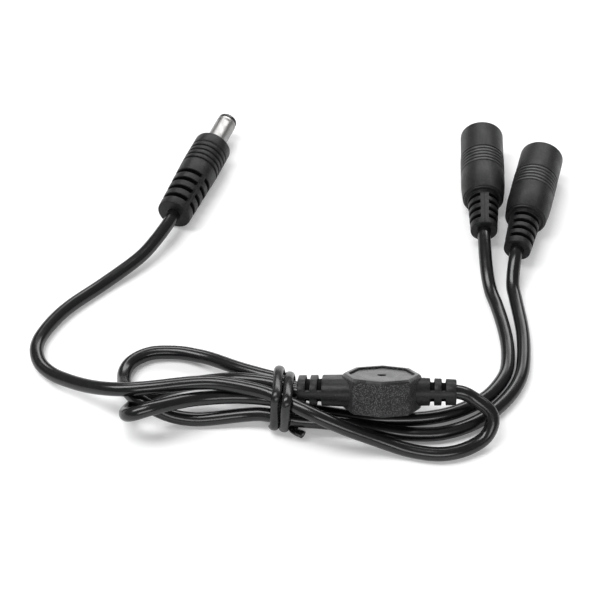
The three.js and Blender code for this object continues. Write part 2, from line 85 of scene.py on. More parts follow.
plug_place = connector_place(PLUG)
jack_places = {name: connector_place(jack) for name, jack in JACKS.items()}
junction_place = (
    Matrix.Translation(JUNCTION["at"])
    @ Matrix.Rotation(math.radians(JUNCTION["roll"]), 4, "X")
    @ Matrix.Rotation(math.radians(JUNCTION["turn"]), 4, "Z"))


# Camera: it looks down at the cable, square to the tie's side
def make_camera():
    camera = bpy.data.cameras.new("camera")
    camera.sensor_width, camera.lens = 36, 96
    camera.clip_start, camera.clip_end = 0.01, 20
    eye = bpy.data.objects.new("camera", camera)
    eye.location = Vector((-16.8, -282.7, 304.7)) * MM
    eye.rotation_euler = (math.radians(42), 0, 0)
    bpy.context.scene.collection.objects.link(eye)
    bpy.context.scene.camera = eye


make_camera()


# Finishes
class Term:
    """A number socket that adds and multiplies as a number does."""

    def __init__(self, nodes, socket):
        self.nodes, self.socket = nodes, socket

    def combine(self, operation, other):
        return self.nodes.add("ShaderNodeMath", {"operation": operation}, {0: self, 1: other})

    def __add__(self, other):
        return self.combine("ADD", other)

    def __mul__(self, other):
        return self.combine("MULTIPLY", other)

    __radd__, __rmul__ = __add__, __mul__


class Nodes:
    """An emptied node tree that nodes are added to with their values or links."""

    def __init__(self, owner):
        owner.use_nodes = True
        self.tree = owner.node_tree
        self.tree.nodes.clear()

    def add(self, kind, settings, values, output=0):
        node = self.tree.nodes.new(kind)
        for key, value in settings.items():
            setattr(node, key, value)
        for key, value in values.items():
            self.join(node.inputs[key], value)
        return Term(self, node.outputs[output]) if node.outputs else None

    def join(self, socket, value):
        if isinstance(value, Term):
            self.tree.links.new(value.socket, socket)
        else:
            socket.default_value = value


class Finish(Nodes):
    """A material of one Principled shader and the nodes that vary it over the surface."""

    def __init__(self, name, colour, roughness, **fixed):
        self.material = bpy.data.materials.new(name)
        super().__init__(self.material)
        self.shader = self.tree.nodes.new("ShaderNodeBsdfPrincipled")
        self.add("ShaderNodeOutputMaterial", {}, {"Surface": Term(self, self.shader.outputs["BSDF"])})
        self.where = self.add("ShaderNodeTexCoord", {}, {}, "Object")
        self.give("Base Color", (*colour, 1))
        self.give("Roughness", roughness)
        for key, value in fixed.items():
            self.give(key.replace("_", " ").title().replace("Ior", "IOR"), value)

    def give(self, name, value):
        self.join(self.shader.inputs[name], value)

    def noise(self, size, detail=2.0, distortion=0.0):
        """Noise whose features are about size millimetres across."""
        return self.add("ShaderNodeTexNoise", {}, {
            "Vector": self.where, "Scale": 1 / (size * MM), "Detail": detail, "Distortion": distortion})

    def step(self, value, low, high, start=0.0, end=1.0):
        return self.add("ShaderNodeMapRange", {"interpolation_type": "SMOOTHSTEP"}, {
            "Value": value, "From Min": low, "From Max": high, "To Min": start, "To Max": end})

    def tint(self, factor, first, second):
        """A mix of two colours, each of them three numbers or a colour socket."""
        first, second = (c if isinstance(c, Term) else (*c, 1) for c in (first, second))
        return self.add("ShaderNodeMix", {"data_type": "RGBA"}, {0: factor, 6: first, 7: second}, 2)

    def raise_by(self, height, depth):
        """Bumps the surface: height from 0 to 1 stands depth millimetres proud."""
        self.give("Normal", self.add("ShaderNodeBump", {}, {
            "Strength": 1.0, "Distance": depth * MM, "Height": height}))


def moulded_vinyl(name, colour, roughness, grain, depth, glint_paint, shine):
    """Moulded black vinyl with a slight mottle and a few pale specks of dust. Its grains are about grain
    millimetres across and depth high, and the more glint_paint it has, the paler they are: painted glints in
    place of the sparkle of light off the texture."""
    finish = Finish(name, colour, roughness, specular_ior_level=shine)
    mottle = finish.noise(2.6, 3)
    dust = finish.step(finish.noise(0.32, 1), 0.74, 0.8) * 0.5
    grains = finish.step(finish.noise(grain, 1), 0.5, 0.64)
    worn = tuple(1.7 * c for c in colour)
    pale = tuple(2.5 * c + 0.08 for c in colour)
    shade = finish.tint(finish.step(mottle, 0.4, 0.7), colour, worn)
    # The pale dust specks are the vinyl's own; the pale grains, scaled by glint_paint, are painted glints.
    finish.give("Base Color", finish.tint(dust + grains * glint_paint, shade, pale))
    finish.give("Roughness", finish.step(mottle, 0.3, 0.7, roughness - 0.05, roughness + 0.07))
    finish.raise_by(grains * 0.8 + finish.noise(grain * 4, 2) * 0.5, depth)
    return finish.material


def cord_vinyl():
    """Drawn black vinyl: glossy, with the long slight waves of a soft jacket and faint scuffs."""
    finish = Finish("cord_vinyl", (0.006, 0.006, 0.0065), 0.26)
    scuffs = finish.noise(1.3, 3)
    finish.give("Base Color", finish.tint(scuffs, (0.0045, 0.0045, 0.005), (0.0065, 0.0065, 0.007)))
    finish.give("Roughness", finish.step(scuffs, 0.35, 0.75, 0.2, 0.25))
    finish.raise_by(finish.noise(7.5, 1), 0.07)
    return finish.material


def plated_metal(name, colour, roughness, lines):
    """Satin plating over fine turning lines, which lines makes stronger."""
    finish = Finish(name, colour, roughness, metallic=1.0)
    along = finish.add("ShaderNodeSeparateXYZ", {}, {
        0: finish.add("ShaderNodeTexCoord", {}, {}, "UV")}, "Y")
    turned_lines = finish.add("ShaderNodeTexNoise", {"noise_dimensions": "1D"}, {
        "W": along, "Scale": 1 / (0.09 * MM), "Detail": 2.0})
    cloud = finish.noise(1.8, 3)
    finish.give("Base Color", finish.tint(cloud, colour, tuple(c * 0.86 for c in colour)))
    finish.give("Roughness", finish.step(cloud, 0.3, 0.7, roughness - 0.05, roughness + 0.08))
    finish.raise_by(turned_lines * lines, 0.003)
    return finish.material


def plain_plastic(name, colour, roughness):
    """Hard moulded plastic with faint flow marks."""
    finish = Finish(name, colour, roughness)
    flow = finish.noise(1.1, 3, 0.6)
    finish.give("Base Color", finish.tint(flow, colour, tuple(c * 1.35 + 0.002 for c in colour)))
    finish.give("Roughness", finish.step(flow, 0.3, 0.7, roughness - 0.05, roughness + 0.07))
    finish.raise_by(finish.noise(0.5, 1), 0.008)
    return finish.material


OVERMOULD = moulded_vinyl("moulded_vinyl", (0.005, 0.005, 0.0055), roughness=0.4,
                          grain=0.28, depth=0.022, glint_paint=0.09, shine=0.27)
JUNCTION_SIDE = moulded_vinyl("spark_textured_vinyl", (0.005, 0.005, 0.0055), roughness=0.42,
                              grain=0.25, depth=0.08, glint_paint=1.0, shine=0.4)
# Smoother and glossier than the sides, and lighter in colour: the lighter colour is painted reflection on the
# panel and painted highlight along the rim.
JUNCTION_PANEL = moulded_vinyl("smooth_panel_vinyl", (0.012, 0.012, 0.0125), roughness=0.28,
                               grain=0.25, depth=0.003, glint_paint=0.0, shine=0.7)
# The jack's ribs are paler than the rest of the overmould: a painted highlight along the ribs where they
# catch light.
HIGHLIT_RIB_VINYL = moulded_vinyl("rib_vinyl_painted_highlight", (0.024, 0.024, 0.0245), roughness=0.34,
                          grain=0.28, depth=0.01, glint_paint=0.09, shine=0.6)
# Inside the slots: the near black colour is painted shade in the recesses, and the high roughness and low
# shine make it matt.
SLOT_SHADE_VINYL = moulded_vinyl("slot_vinyl_painted_shade", (0.0018, 0.0018, 0.002), roughness=0.75,
                           grain=0.28, depth=0.01, glint_paint=0.0, shine=0.06)
JACKET = cord_vinyl()
NICKEL = plated_metal("satin_nickel", (0.34, 0.336, 0.33), 0.38, 0.7)
SPRING_METAL = plated_metal("spring_nickel", (0.6, 0.585, 0.56), 0.24, 0.4)
INSULATOR = plain_plastic("black_insulator", (0.009, 0.009, 0.0095), 0.3)
TIE_PLASTIC = plain_plastic("tie_plastic", (0.006, 0.006, 0.0065), 0.24)
TIN = plated_metal("tinned_sleeve", (0.6, 0.59, 0.57), 0.35, 0.9)
RED_CORE = plain_plastic("red_insulation", (0.42, 0.025, 0.02), 0.4)
BLACK_CORE = plain_plastic("black_insulation", (0.02, 0.02, 0.02), 0.4)


# Meshes
def curve_through(points, spacing=0.9):
    """Points about spacing apart on a centripetal curve through the given ones."""
    points = [Vector(p) for p in points]
    points = [2 * points[0] - points[1], *points, 2 * points[-1] - points[-2]]
    made = []
    for a, b, c, d in zip(points, points[1:], points[2:], points[3:]):
        t1 = (b - a).length ** 0.5
        t2 = t1 + (c - b).length ** 0.5
        t3 = t2 + (d - c).length ** 0.5
        count = max(2, round((c - b).length / spacing))
        for i in range(count):
            t = t1 + (t2 - t1) * i / count
            ab, bc = a.lerp(b, t / t1), b.lerp(c, (t - t1) / (t2 - t1))
            cd = c.lerp(d, (t - t2) / (t3 - t2))
            abc, bcd = ab.lerp(bc, t / t2), bc.lerp(cd, (t - t1) / (t3 - t1))
            made.append(abc.lerp(bcd, (t - t1) / (t2 - t1)))
    return made + [points[-2]]


def piece(name, mesh, materials, node):
    """An object that shows a mesh in place of a node's solid."""
    thing = bpy.data.objects.new(name, mesh)
    bpy.context.scene.collection.objects.link(thing)
    for material in materials:
        mesh.materials.append(material)
    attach(thing, "root")
    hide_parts(node)
    return thing


def plain_finish(ring, point):
    return 0


def skin(name, rings, place=Matrix(), closed=False, along=None, sharp=35, finish_at=plain_finish):
    """Joins rings of as many points each, given in millimetres. A closed skin's last ring meets its first,
    and an open one is capped at both ends. finish_at gives the material row of the face at a ring and
    point, and sharp is the angle in degrees from which an edge is shaded as sharp."""
    made = bmesh.new()
    uv = made.loops.layers.uv.new("around_and_along")
    loops = [[made.verts.new((place @ Vector(p)) * MM) for p in ring] for ring in rings]
    count = len(loops[0])
    along = along or range(len(rings))
    for i in range(len(loops) if closed else len(loops) - 1):
        j = (i + 1) % len(loops)
        for k in range(count):
            n = (k + 1) % count
            face = made.faces.new((loops[i][k], loops[i][n], loops[j][n], loops[j][k]))
            face.material_index = finish_at(i, k)
            corners = ((k, i), (k + 1, i), (k + 1, j), (k, j))
            for loop, (column, row) in zip(face.loops, corners):
                loop[uv].uv = (column / count, along[row] * MM)
    if not closed:
        made.faces.new(loops[0])
        made.faces.new(loops[-1])
    bmesh.ops.remove_doubles(made, verts=made.verts, dist=1e-7)
    bmesh.ops.recalc_face_normals(made, faces=made.faces)
    for face in made.faces:
        face.smooth = True
    mesh = bpy.data.meshes.new(name)
    made.to_mesh(mesh)
    made.free()
    mesh.set_sharp_from_angle(angle=math.radians(sharp))
    return mesh


def soften(outline):
    """Rounds the corners of an outline of (radius, height, fillet) or (radius, height, 0, drop)."""
    rows = []
    for i, (radius, height, fillet, *drop) in enumerate(outline):
        if not fillet:
            rows.append((radius, height, drop[0] if drop else 0))
            continue
        corner = Vector((radius, height))
        ends = []
        for other in (outline[i - 1], outline[(i + 1) % len(outline)]):
            side = Vector(other[:2]) - corner
            ends.append(corner + side.normalized() * min(fillet, side.length * 0.45))
        for t in (0, 0.3, 0.7, 1):
            point = ends[0] * (1 - t) ** 2 + corner * 2 * t * (1 - t) + ends[1] * t ** 2
            rows.append((*point, 0))
    return rows


def columns_round(count, web_turn=None, web_width=0.0, radius=1.0):
    """Angles round a turned body, with some set close together at the edges of its two webs and at the seam
    along each. Each has how much of a web and of a seam it is in."""
    angles = [i / count * 2 * math.pi for i in range(count)]
    if web_turn is None:
        return [(a, 0.0, 0.0) for a in angles]
    places = [(sign * (web_width / 2 + offset), web, 0.0) for sign in (-1, 1)
              for offset, web in ((-WEB_BLEND, 1.0), (0, 0.5), (WEB_BLEND, 0.0))]
    places += [(across, 1.0, seam) for across, seam in (
        (-SEAM_OUTER, 0.0), (-SEAM_INNER, 1.0), (SEAM_INNER, 1.0), (SEAM_OUTER, 0.0))]
    marks = [((side + math.asin(across / radius) + math.radians(web_turn)) % (2 * math.pi), web, seam)
             for side in (0, math.pi) for across, web, seam in places]
    near = math.pi / count

    def in_web(angle):
        return abs(math.sin(angle - math.radians(web_turn))) < web_width / 2 / radius

    def apart(angle, mark):
        return abs((angle - mark + math.pi) % (2 * math.pi) - math.pi) > near

    kept = [(a, 1.0 if in_web(a) else 0.0, 0.0) for a in angles if all(apart(a, m[0]) for m in marks)]
    return sorted(kept + marks)


def turned(name, outline, place, columns):
    """A body turned about its own +Y axis from a closed outline. A row's drop is how far it lies below its
    radius outside the webs."""
    rows = soften(outline)
    rings = []
    for radius, height, drop in rows:
        ring = []
        for angle, web, seam in columns:
            r = radius - drop * (1 - web) - (SEAM_DEPTH * seam if height < SEAM_END else 0)
            ring.append((r * math.sin(angle), height, r * math.cos(angle)))
        rings.append(ring)

    # Faces deep in a slot, off the webs, take material 1, whose dark colour is painted shade.
    def finish_at(i, k):
        drop = max(rows[i][2], rows[(i + 1) % len(rows)][2])
        web = max(columns[k][1], columns[(k + 1) % len(columns)][1])
        return 1 if drop > SLOT_FROM and web < 0.9 else 0

    return skin(name, rings, place, closed=True, along=[row[1] for row in rows], finish_at=finish_at)


def slot_rows(first, pitch, count, width, depth, radius_at):
    """Rows of an outline that cut slots, each with a small rounding along its lips."""
    half = width / 2
    edge = [(half + 0.12 + 0.12, 0), (half + 0.12, 0), (half + 0.04, 0.03),
            (half - 0.02, 0.12), (half - 0.05, 0.92), (half - 0.15, 1)]
    rows = []
    for i in range(count):
        middle = first + i * pitch
        for offset, share in [(-o, k) for o, k in edge] + edge[::-1]:
            rows.append((radius_at(middle + offset), middle + offset, 0, depth * share))
    return rows


def rib_tree():
    """A node tree that sets rounded ribs at a pitch along +Y."""
    tree = bpy.data.node_groups.new("grip_ribs", "GeometryNodeTree")
    sockets = tree.interface
    sockets.new_socket("Geometry", in_out="INPUT", socket_type="NodeSocketGeometry")
    sockets.new_socket("Count", in_out="INPUT", socket_type="NodeSocketInt")
    for label in ("First", "Pitch", "Radius", "Rib Width", "Rib Height", "Corner"):
        sockets.new_socket(label, in_out="INPUT", socket_type="NodeSocketFloat")
    sockets.new_socket("Finish", in_out="INPUT", socket_type="NodeSocketMaterial")
    sockets.new_socket("Geometry", in_out="OUTPUT", socket_type="NodeSocketGeometry")
    given = tree.nodes.new("NodeGroupInput")
    result = tree.nodes.new("NodeGroupOutput")

    def add(kind, settings=None, **links):
        node = tree.nodes.new(kind)
        for key, value in (settings or {}).items():
            setattr(node, key, value)
        for key, value in links.items():
            socket = node.inputs[key.replace("_", " ")]
            if isinstance(value, bpy.types.NodeSocket):
                tree.links.new(value, socket)
            else:
                socket.default_value = value
        return node

    start = add("ShaderNodeCombineXYZ", Y=given.outputs["First"])
    step = add("ShaderNodeCombineXYZ", Y=given.outputs["Pitch"])
    line = add("GeometryNodeMeshLine", {"mode": "OFFSET"}, Count=given.outputs["Count"],
               Start_Location=start.outputs[0], Offset=step.outputs[0])
    rail = add("GeometryNodeCurvePrimitiveCircle", Resolution=72, Radius=given.outputs["Radius"])
    section = add("GeometryNodeCurvePrimitiveQuadrilateral", Width=given.outputs["Rib Height"],
                  Height=given.outputs["Rib Width"])
    rounded = add("GeometryNodeFilletCurve", {"mode": "POLY"}, Curve=section.outputs[0], Count=3,
                  Radius=given.outputs["Corner"], Limit_Radius=True)
    ring = add("GeometryNodeCurveToMesh", Curve=rail.outputs[0], Profile_Curve=rounded.outputs[0])
    upright = add("GeometryNodeTransform", Geometry=ring.outputs[0], Rotation=(math.pi / 2, 0, 0))
    ribs = add("GeometryNodeInstanceOnPoints", Points=line.outputs[0], Instance=upright.outputs[0])
    real = add("GeometryNodeRealizeInstances", Geometry=ribs.outputs[0])
    smooth = add("GeometryNodeSetShadeSmooth", Geometry=real.outputs[0])
    done = add("GeometryNodeSetMaterial", Geometry=smooth.outputs[0], Material=given.outputs["Finish"])
    tree.links.new(done.outputs[0], result.inputs[0])
    return tree


def grown(tree, values):
    """The plain mesh that a node tree makes with the named inputs."""
    host = bpy.data.objects.new("host", bpy.data.meshes.new("host"))
    bpy.context.scene.collection.objects.link(host)
    modifier = host.modifiers.new("grow", "NODES")
    modifier.node_group = tree
    for item in tree.interface.items_tree:
        if item.in_out == "INPUT" and item.name in values:
            modifier[item.identifier] = values[item.name]
    seen = host.evaluated_get(bpy.context.evaluated_depsgraph_get())
    mesh = bpy.data.meshes.new_from_object(seen)
    bpy.data.objects.remove(host)
    return mesh


RIB_TREE = rib_tree()


def add_ribs(mesh, place, count, first, pitch, width, outer, height, corner, finish, finish_row=0):
    """Adds grip ribs to a turned body's mesh, where their finish is the material at finish_row."""
    ribs = grown(RIB_TREE, {
        "Count": count, "First": first * MM, "Pitch": pitch * MM, "Radius": (outer - height / 2) * MM,
        "Rib Width": width * MM, "Rib Height": height * MM, "Corner": corner * MM, "Finish": finish})
    turn = place.to_quaternion().to_matrix().to_4x4()
    ribs.transform(Matrix.Translation(place.to_translation() * MM) @ turn)
    ribs.polygons.foreach_set("material_index", [finish_row] * len(ribs.polygons))
    joined = bmesh.new()
    joined.from_mesh(mesh)
    joined.from_mesh(ribs)
    joined.to_mesh(mesh)
    joined.free()
    bpy.data.meshes.remove(ribs)


# Cords, along the same points as their solids
INPUT_ROUTE = [
    (-54.7, 8.6, 4.2), (-58.1, 4.1, 3.2), (-67.4, -4.5, 1.8), (-74.5, -11.4, 1.8), (-77.7, -15.3, 1.8),
    (-80.2, -19.5, 1.8), (-81.9, -23.8, 1.8), (-82, -27.3, 1.8), (-80.5, -31.2, 1.8), (-77.4, -34.6, 2.3),
    (-73, -38, 3.8), (-67.6, -41.5, 6), (-62.4, -44.1, 8.2), (-57.5, -45.3, 9.5), (-52.7, -45.2, 9.9),
    (-41.7, -43.8, 10), (-36.2, -43.9, 10.1), (-25.8, -46.3, 10), (-22.7, -47.8, 10.1), (-15.6, -52.3, 10.3),
    (-11, -54.2, 9.3), (-6.8, -55.2, 7.6), (2, -56.3, 3.9), (7.2, -57.2, 2.2), (11.4, -58.1, 1.8),
    (15.9, -58.6, 1.8), (20.1, -57.9, 1.8), (24, -56.2, 1.9), (27, -54.3, 2.8), (28.3, -52.6, 4.4),
    (28.6, -51.1, 5.8), (27.9, -49.7, 6.9), (24.1, -47.3, 8.6),
]
OUTPUT_ROUTE_A = [
    (-22.8, -40.4, 7.5), (-25.9, -38.9, 7), (-31.3, -35.8, 5.6), (-38.9, -30.4, 3), (-42.7, -28.6, 2.2),
    (-46.5, -27.5, 1.8), (-52.7, -27.5, 1.8), (-55.8, -28.6, 1.8), (-58.4, -30.7, 1.8), (-59.6, -33.3, 1.9),
    (-59.6, -36.9, 2.6), (-58.4, -41.5, 4.8), (-56.2, -45, 6), (-53.9, -46.7, 5.9), (-48.3, -47.8, 3),
    (-45, -48.1, 2.1), (-40.9, -48.3, 1.8), (-29.9, -47.7, 2.8), (-25.9, -48.1, 3.6), (-20.6, -49.3, 3.7),
    (-16.1, -50, 3.5), (-11.6, -50.1, 3.1), (-2.6, -51.2, 2.7), (6.9, -52.4, 1.8), (12, -52.8, 1.8),
    (16.6, -52.5, 1.8), (21.7, -50.9, 1.8), (25.9, -48.7, 1.8), (29.6, -45.8, 1.8), (33.4, -41.7, 1.8),
    (36, -37.7, 1.8), (37.6, -33.6, 1.8), (38.6, -27.3, 1.8), (38.9, -20.1, 1.8), (38.1, -9.6, 2),
    (37.7, -5.6, 2.6),
]
OUTPUT_ROUTE_B = [
    (-22.7, -43.7, 9.5), (-31.1, -40.9, 7.8), (-36.5, -39.4, 5.6), (-42.2, -38.5, 3.4), (-47.9, -38.7, 2),
    (-51.2, -40, 1.8), (-55.9, -43.2, 1.9), (-57.4, -45.7, 2.7), (-58, -49, 5.2), (-57.2, -51.4, 7.6),
    (-55.1, -52.2, 9.2), (-52.1, -51.4, 9.7), (-43.7, -47.5, 8), (-39.3, -46.1, 7.1), (-34.6, -45.3, 6.6),
    (-29.9, -45.2, 6.5), (-23.2, -46, 6.5), (-18.6, -45.4, 3.9), (-15.4, -45.6, 2.2), (-11.5, -46.2, 1.9),
    (-1.3, -48, 1.8), (7.5, -48.3, 1.8), (12.8, -48, 1.8), (18.1, -46.9, 1.8), (23.1, -44.8, 1.8),
    (28.2, -41.6, 1.8), (31.8, -37.3, 1.8), (33.7, -33.6, 1.8), (34.5, -29.4, 1.8), (34.7, -24.4, 1.8),
    (34.2, -18.5, 1.8), (33.1, -11.7, 1.8), (32, -7.3, 2.2), (31.3, -2, 3.7),
]


def on_axis(place, heights):
    """Points on a connector's axis."""
    return [place @ Vector((0, y, 0)) for y in heights]


def in_neck(side, reach, y):
    """Points through a neck of the junction."""
    return [junction_place @ Vector((side * x, y, 0)) for x in (NECK_START, reach / 2, reach + 1)]


plug_run, jack_run = (-2.5, 3, PLUG_HOLE - GAP), (-2, 4, JACK_HOLE - GAP)
cord_lines = {
    "input_cord": curve_through([
        *in_neck(1, NECK_IN_REACH, 0), *reversed(INPUT_ROUTE), *on_axis(plug_place, plug_run)]),
    "output_cord_a": curve_through([
        *in_neck(-1, NECK_OUT_REACH, CORD_SPACING / 2), *OUTPUT_ROUTE_A,
        *on_axis(jack_places["jack_a"], jack_run)]),
    "output_cord_b": curve_through([
        *in_neck(-1, NECK_OUT_REACH, -CORD_SPACING / 2), *OUTPUT_ROUTE_B,
        *on_axis(jack_places["jack_b"], jack_run)]),
}


def heading_at(line, i):
    return (line[min(i + 1, len(line) - 1)] - line[max(i - 1, 0)]).normalized()


def tube(name, line, radius, sides=20):
    """A round rod along a line, with no twist, and its length."""
    rings, along, run = [], [], 0.0
    side = None
    for i, point in enumerate(line):
        ahead = heading_at(line, i)
        side = side or ahead.orthogonal()
        side = (side - ahead * side.dot(ahead)).normalized()
        up = ahead.cross(side)
        run += (point - line[i - 1]).length if i else 0
        along.append(run)
        turns = [k / sides * 2 * math.pi for k in range(sides)]
        rings.append([point + side * radius * math.cos(a) + up * radius * math.sin(a) for a in turns])
    return skin(name, rings, along=along), run


cords, lengths = {}, {}
for name, line in cord_lines.items():
    mesh, lengths[name] = tube(name + "_jacket", line, CORD_RADIUS)
    cords[name] = piece(name + "_jacket", mesh, [JACKET], name)
print("cord lengths", {name: round(length, 1) for name, length in lengths.items()})


# Plug
def plug_radius(y):
    return PLUG_REAR + (PLUG_FRONT - PLUG_REAR) * min(1, y / PLUG_GRIP)


def plug_body():
    columns = columns_round(72, PLUG["web_turn"], 1.35, 4.7)
    groove_start, groove_end = PLUG_GRIP - 0.375, PLUG_GRIP + PLUG_RIBS * PLUG_PITCH + 0.375
    floor = PLUG_FRONT - 0.3
    outline = [
        (CORD_MOUTH, 0, 0.06), (PLUG_REAR, 0, 0.24),
        *slot_rows(2.9, 3.15, 4, 1.3, 2.1, plug_radius),
        (PLUG_FRONT, groove_start, 0.1), (floor, groove_start + 0.2, 0.1),
        (floor, groove_end - 0.2, 0.1), (PLUG_FRONT, groove_end, 0.1),
        (PLUG_FRONT, PLUG_LENGTH, 0.5), (3.05, PLUG_LENGTH, 0.15), (3.05, 26.8, 0), (CORD_HOLE, 26.6, 0),
        (CORD_HOLE, 1.1, 0.05), (CORD_MOUTH, 0.8, 0.05),
    ]
    mesh = turned("plug_overmould_body", outline, plug_place, columns)
    add_ribs(mesh, plug_place, PLUG_RIBS, PLUG_GRIP + 0.84, PLUG_PITCH, width=PLUG_PITCH - 0.5,
             outer=PLUG_FRONT + 0.02, height=0.8, corner=0.16, finish=OVERMOULD)
    piece("plug_overmould_body", mesh, [OVERMOULD, SLOT_SHADE_VINYL], "plug_overmould")


def plug_metal():
    """The barrel with its rolled band, the ring in its end and the spring contact inside."""
    columns = columns_round(64)
    start, end = BARREL_START, BARREL_END
    band = end - 1.1
    shell = turned("plug_barrel_shell", [
        (2.35, start, 0), (3.1, start, 0.05), (3.1, start + 1.2, 0.05), (BARREL_RADIUS, start + 1.2, 0),
        (BARREL_RADIUS, band - 0.35, 0.12), (2.59, band - 0.2, 0.05), (2.59, band, 0.05),
        (BARREL_RADIUS, band + 0.15, 0.1), (BARREL_RADIUS, end, 0.2), (2.35, end, 0.08)], plug_place, columns)
    piece("plug_barrel_shell", shell, [NICKEL], "plug_barrel")
    tip = end + GAP + 0.8
    ring = turned("plug_tip_ring", [
        (1.55, start, 0), (2.05, start, 0), (2.05, end + GAP, 0), (2.65, end + GAP, 0), (2.65, tip, 0.3),
        (1.3, tip, 0.12), (1.55, tip - 0.3, 0.05)], plug_place, columns)
    piece("plug_tip_ring", ring, [INSULATOR], "plug_tip_insulator")
    spring = turned("plug_spring_tube", [
        (AXIS, 17, 0), (0.55, 17, 0.05), (0.55, start, 0), (1.25, start, 0.05), (1.25, tip - 0.5, 0.08),
        (1.05, tip - 0.5, 0.08), (1.05, start + 1, 0), (AXIS, start + 1, 0)], plug_place, columns_round(32))
    piece("plug_spring_tube", spring, [SPRING_METAL], "plug_center_contact")


# Jacks
def neck_radius(y):
    return JACK_REAR + (JACK_NECK - JACK_REAR) * y / JACK_NECK_LENGTH


def jack_body(name):
    place = jack_places[name]
    columns = columns_round(72, JACKS[name]["web_turn"], 2.4, 3.85)
    groove_start, groove_end = JACK_GRIP - 0.2, JACK_GRIP + JACK_RIBS * JACK_PITCH + 0.2
    floor, shoulder = JACK_BODY - 0.2, JACK_NECK_LENGTH + 0.45
    outline = [
        (CORD_MOUTH, 0, 0.06), (JACK_REAR, 0, 0.22),
        *slot_rows(2.5, 2.5, 4, 1.15, 1.6, neck_radius),
        (JACK_NECK, JACK_NECK_LENGTH, 0.15), (4.95, JACK_NECK_LENGTH, 0.1),
        (5.2, shoulder, 0.08), (5.4, shoulder, 0.1), (JACK_BODY, 16, 1.2),
        (JACK_BODY, groove_start, 0.05), (floor, groove_start + 0.1, 0.04),
        (floor, groove_end - 0.1, 0.06), (JACK_BODY, groove_end, 0.08),
        (JACK_BODY, 27.4, 0.08), (JACK_COLLAR, 27.5, 0.08), (JACK_COLLAR, JACK_LENGTH, 0.45),
        (4.4, JACK_LENGTH, 0.1), (4.4, 16.7, 0), (CORD_HOLE, 16.5, 0),
        (CORD_HOLE, 1.1, 0.05), (CORD_MOUTH, 0.8, 0.05),
    ]
    mesh = turned(name + "_overmould_body", outline, place, columns)
    add_ribs(mesh, place, JACK_RIBS, JACK_GRIP + 0.58, JACK_PITCH, width=0.6,
             outer=JACK_BODY + 0.04, height=0.7, corner=0.2, finish=HIGHLIT_RIB_VINYL, finish_row=2)
    # Material 2, the paler rib finish, is painted highlight.
    materials = [OVERMOULD, SLOT_SHADE_VINYL, HIGHLIT_RIB_VINYL]
    piece(name + "_overmould_body", mesh, materials, name + "_overmould")


def jack_inside(name):
    """The socket that takes a plug, and the pin in its middle."""
    place = jack_places[name]
    front, seat, floor = JACK_LENGTH, 17.0, 26.5
    insert = turned(name + "_socket", [
        (1.3, seat, 0), (4.1, seat, 0.1), (4.1, front, 0.12), (3.2, front, 0.3),
        (2.85, front - 0.45, 0.12), (3.2, front - 0.8, 0.1), (3.2, floor, 0.2), (1.3, floor, 0.15)],
        place, columns_round(64))
    piece(name + "_socket", insert, [INSULATOR], name + "_socket_insert")
    pin = turned(name + "_pin", [
        (AXIS, 13.8, 0), (0.6, 13.8, 0.05), (0.6, 16.7, 0), (1.0, 16.7, 0.05), (1.0, 35.0, 0.35),
        (0.62, 35.55, 0.2), (AXIS, 35.7, 0)], place, columns_round(32))
    piece(name + "_pin", pin, [SPRING_METAL], name + "_center_pin")


# Junction
def octagon(radius, corner):
    """Points along eight straight sides whose corners are cut by a little."""
    points = []
    for k in range(AROUND):
        angle = k / AROUND * 2 * math.pi
        turn = (angle % (math.pi / 4)) - math.pi / 8
        reach = radius * math.cos(math.pi / 8) / math.cos(turn)
        reach = min(reach, radius - corner)
        points.append((reach * math.sin(angle), -reach * math.cos(angle)))
    return points


def circle(radius):
    angles = [k / (AROUND / 2) * math.pi for k in range(AROUND)]
    return [(radius * math.sin(a), -radius * math.cos(a)) for a in angles]


def junction_body():
    """The octagon, with a seam round its middle and a rim round a sunk panel that has a gate mark."""
    half, outer, panel, depth, groove = 4.3, 9.4, 7.9, 0.4, 0.8
    point = 0.0005
    lower = [
        (point, -half), (outer - 0.9, -half), (outer - 0.5, -half + 0.06), (outer - 0.12, -half + 0.4),
        (outer, -half + 0.75), (outer + 0.04, -0.12), (outer - 0.02, -0.04), (outer - 0.02, 0.04),
        (outer + 0.04, 0.12)]
    rim = [
        (outer, half - 0.75), (outer - 0.14, half - 0.4), (outer - 0.5, half - 0.05), (outer - 0.75, half)]
    around_panel = [
        (panel + 0.12, half), (panel, half - 0.06), (panel - 0.06, half - groove),
        (panel - 0.38, half - groove), (panel - 0.42, half - depth - 0.05), (panel - 0.5, half - depth)]
    top = half - depth
    mark = [
        (2.2, top), (1.15, top), (1.02, top - 0.08), (0.97, top - 0.8), (0.75, top - 0.9), (point, top - 0.9)]
    eight_sided = lower + rim + around_panel
    rows = [[(x, y, height) for x, y in octagon(radius, 0.06)] for radius, height in eight_sided]
    rows += [[(x, y, height) for x, y in circle(radius)] for radius, height in mark]
    # The rim and the panel take the lighter finish, whose lighter colour is painted highlight and reflection.
    smooth = {*range(len(lower), len(lower) + len(rim)), *range(len(eight_sided) - 2, len(rows))}
    mesh = skin("junction_body", rows, junction_place, sharp=20, finish_at=lambda i, k: int(i in smooth))
    piece("junction_body", mesh, [JUNCTION_SIDE, JUNCTION_PANEL], "junction_overmould")


def stadium(radius, spacing):
    """Points round two half circles whose centres are a spacing apart, from one side of the web."""
    points = []
    for k in range(AROUND):
        angle = (k + 0.5) / AROUND * 2 * math.pi
        shift = math.copysign(spacing / 2, math.cos(angle))
        points.append((radius * math.cos(angle) + shift, radius * math.sin(angle)))
    return points


